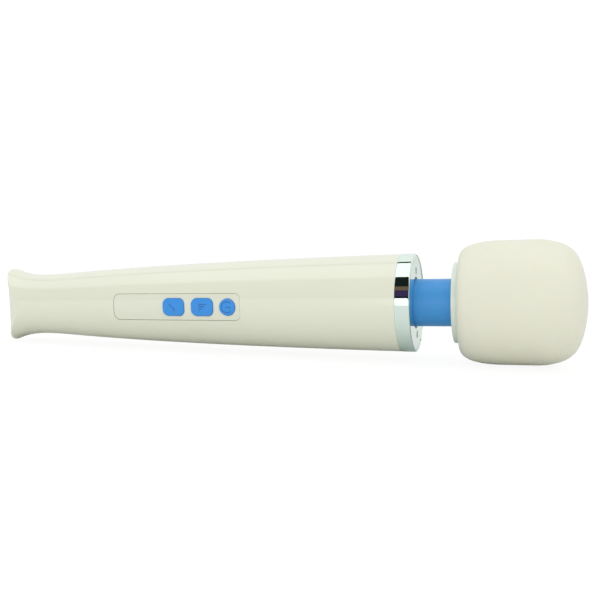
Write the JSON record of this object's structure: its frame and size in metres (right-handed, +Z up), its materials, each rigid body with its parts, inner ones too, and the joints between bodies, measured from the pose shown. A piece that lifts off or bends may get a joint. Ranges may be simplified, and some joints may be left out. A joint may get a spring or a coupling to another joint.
{
  "type": "handheld wand massager",
  "caption": "Cordless handheld wand massager with a large soft vibrating head on a flexible neck, a slim flared handle and a push-button control panel.",
  "frame": {"origin": "below the middle of the bounding box, on the surface that the wand lies on", "axes": "+X towards the head along the wand, -Y out of the control panel, +Z up; the wand rests on the lower corner of its tail and the underside of its head, so its own axis climbs 1.83 degrees towards the head"},
  "size_m": [0.3254, 0.0612, 0.0617],
  "materials": {
    "casing_ivory": "glossy moulded ivory plastic",
    "panel_ivory": "glossy moulded ivory plastic strip",
    "button_blue": "satin blue plastic",
    "bright_chrome": "polished chrome plate",
    "neck_blue": "satin blue thermoplastic rubber",
    "collar_mint": "glossy pale mint plastic",
    "head_silicone": "soft matte ivory silicone",
    "port_black": "black moulded plastic",
    "screw_steel": "bright zinc plated and ground steel",
    "core_plastic": "plain moulded plastic",
    "pad_silicone": "grey silicone and foam",
    "board_green": "green solder mask on glass epoxy",
    "cell_wrap": "heat shrunk cell sleeve",
    "lead_red": "insulated lead",
    "contact_brass": "bright brass and bronze",
    "wound_iron": "dark machined and laminated iron"
  },
  "bodies": {
    "handle": {"battery_bands": "pad_silicone", "battery_cell_front": "cell_wrap", "battery_cell_rear": "cell_wrap", "battery_cradle": "core_plastic", "battery_lead": "lead_red", "battery_tabs": "contact_brass", "board_components": "port_black", "board_screws": "screw_steel", "casing_screws": "screw_steel", "charge_jack": "port_black", "charge_lead": "lead_red", "chrome_ring": "bright_chrome", "circuit_board": "board_green", "control_panel": "panel_ivory", "end_plate": "bright_chrome", "end_plate_screws": "bright_chrome", "flex_neck": "neck_blue", "front_shell": "casing_ivory", "jack_bezel": "port_black", "jack_pin": "contact_brass", "keypad_membrane": "pad_silicone", "keypad_retainer": "core_plastic", "motor_bushes": "contact_brass", "motor_can": "screw_steel", "motor_end_bell": "core_plastic", "motor_isolator": "pad_silicone", "motor_lead": "lead_red", "motor_magnets": "wound_iron", "motor_mount": "core_plastic", "motor_screws": "screw_steel", "motor_terminals": "contact_brass", "neck_clamp": "core_plastic", "rear_shell": "casing_ivory", "tact_switches": "port_black", "tail_cap": "casing_ivory"},
    "neck_middle": {"guide_bush": "core_plastic"},
    "head": {"head_collar": "collar_mint", "collar_screws": "screw_steel", "head_cover": "head_silicone", "head_core_rear": "core_plastic", "head_core_front": "core_plastic", "core_screws": "screw_steel", "head_bearings": "screw_steel"},
    "rotor": {"motor_shaft": "screw_steel", "armature": "wound_iron", "commutator": "contact_brass", "motor_hub": "wound_iron", "drive_spring": "wound_iron"},
    "eccentric": {"head_hub": "wound_iron", "eccentric_shaft": "screw_steel", "eccentric_weight": "wound_iron", "weight_set_screw": "screw_steel"},
    "pattern": {"pattern_button": "button_blue", "pattern_plunger": "core_plastic"},
    "intensity": {"intensity_button": "button_blue", "intensity_plunger": "core_plastic"},
    "power": {"power_button": "button_blue", "power_plunger": "core_plastic"}
  },
  "joints": [
    {"name": "neck_swing", "type": "hinge", "parent": "handle", "child": "neck_middle", "pos_m": [0.08593, 0, 0.02943], "axis": [-0.0319, 0, 0.9995], "range_deg": [-20, 20], "stiffness_Nm_per_rad": 5, "deforming": ["flex_neck", "drive_spring"]},
    {"name": "neck_tilt", "type": "hinge", "parent": "neck_middle", "child": "head", "pos_m": [0.09538, 0, 0.02973], "axis": [0, 1, 0], "range_deg": [-20, 20], "stiffness_Nm_per_rad": 5, "deforming": ["flex_neck", "drive_spring"]},
    {"name": "motor_spin", "type": "hinge", "parent": "handle", "child": "rotor", "pos_m": [0.06582, 0, 0.02879], "axis": [0.9995, 0, 0.0319], "continuous": true},
    {"name": "eccentric_spin", "type": "hinge", "parent": "head", "child": "eccentric", "pos_m": [0.12778, 0, 0.03077], "axis": [0.9995, 0, 0.0319], "continuous": true},
    {"name": "pattern_press", "type": "slide", "parent": "handle", "child": "pattern", "axis": [0, 1, 0], "range_m": [0, 0.0008], "stiffness_N_per_m": 1500, "deforming": ["keypad_membrane"]},
    {"name": "intensity_press", "type": "slide", "parent": "handle", "child": "intensity", "axis": [0, 1, 0], "range_m": [0, 0.0008], "stiffness_N_per_m": 1500, "deforming": ["keypad_membrane"]},
    {"name": "power_press", "type": "slide", "parent": "handle", "child": "power", "axis": [0, 1, 0], "range_m": [0, 0.0008], "stiffness_N_per_m": 1500, "deforming": ["keypad_membrane"]}
  ],
  "couplings": [
    {"joint": "eccentric_spin", "follows": "motor_spin", "ratio": 1}
  ]
}
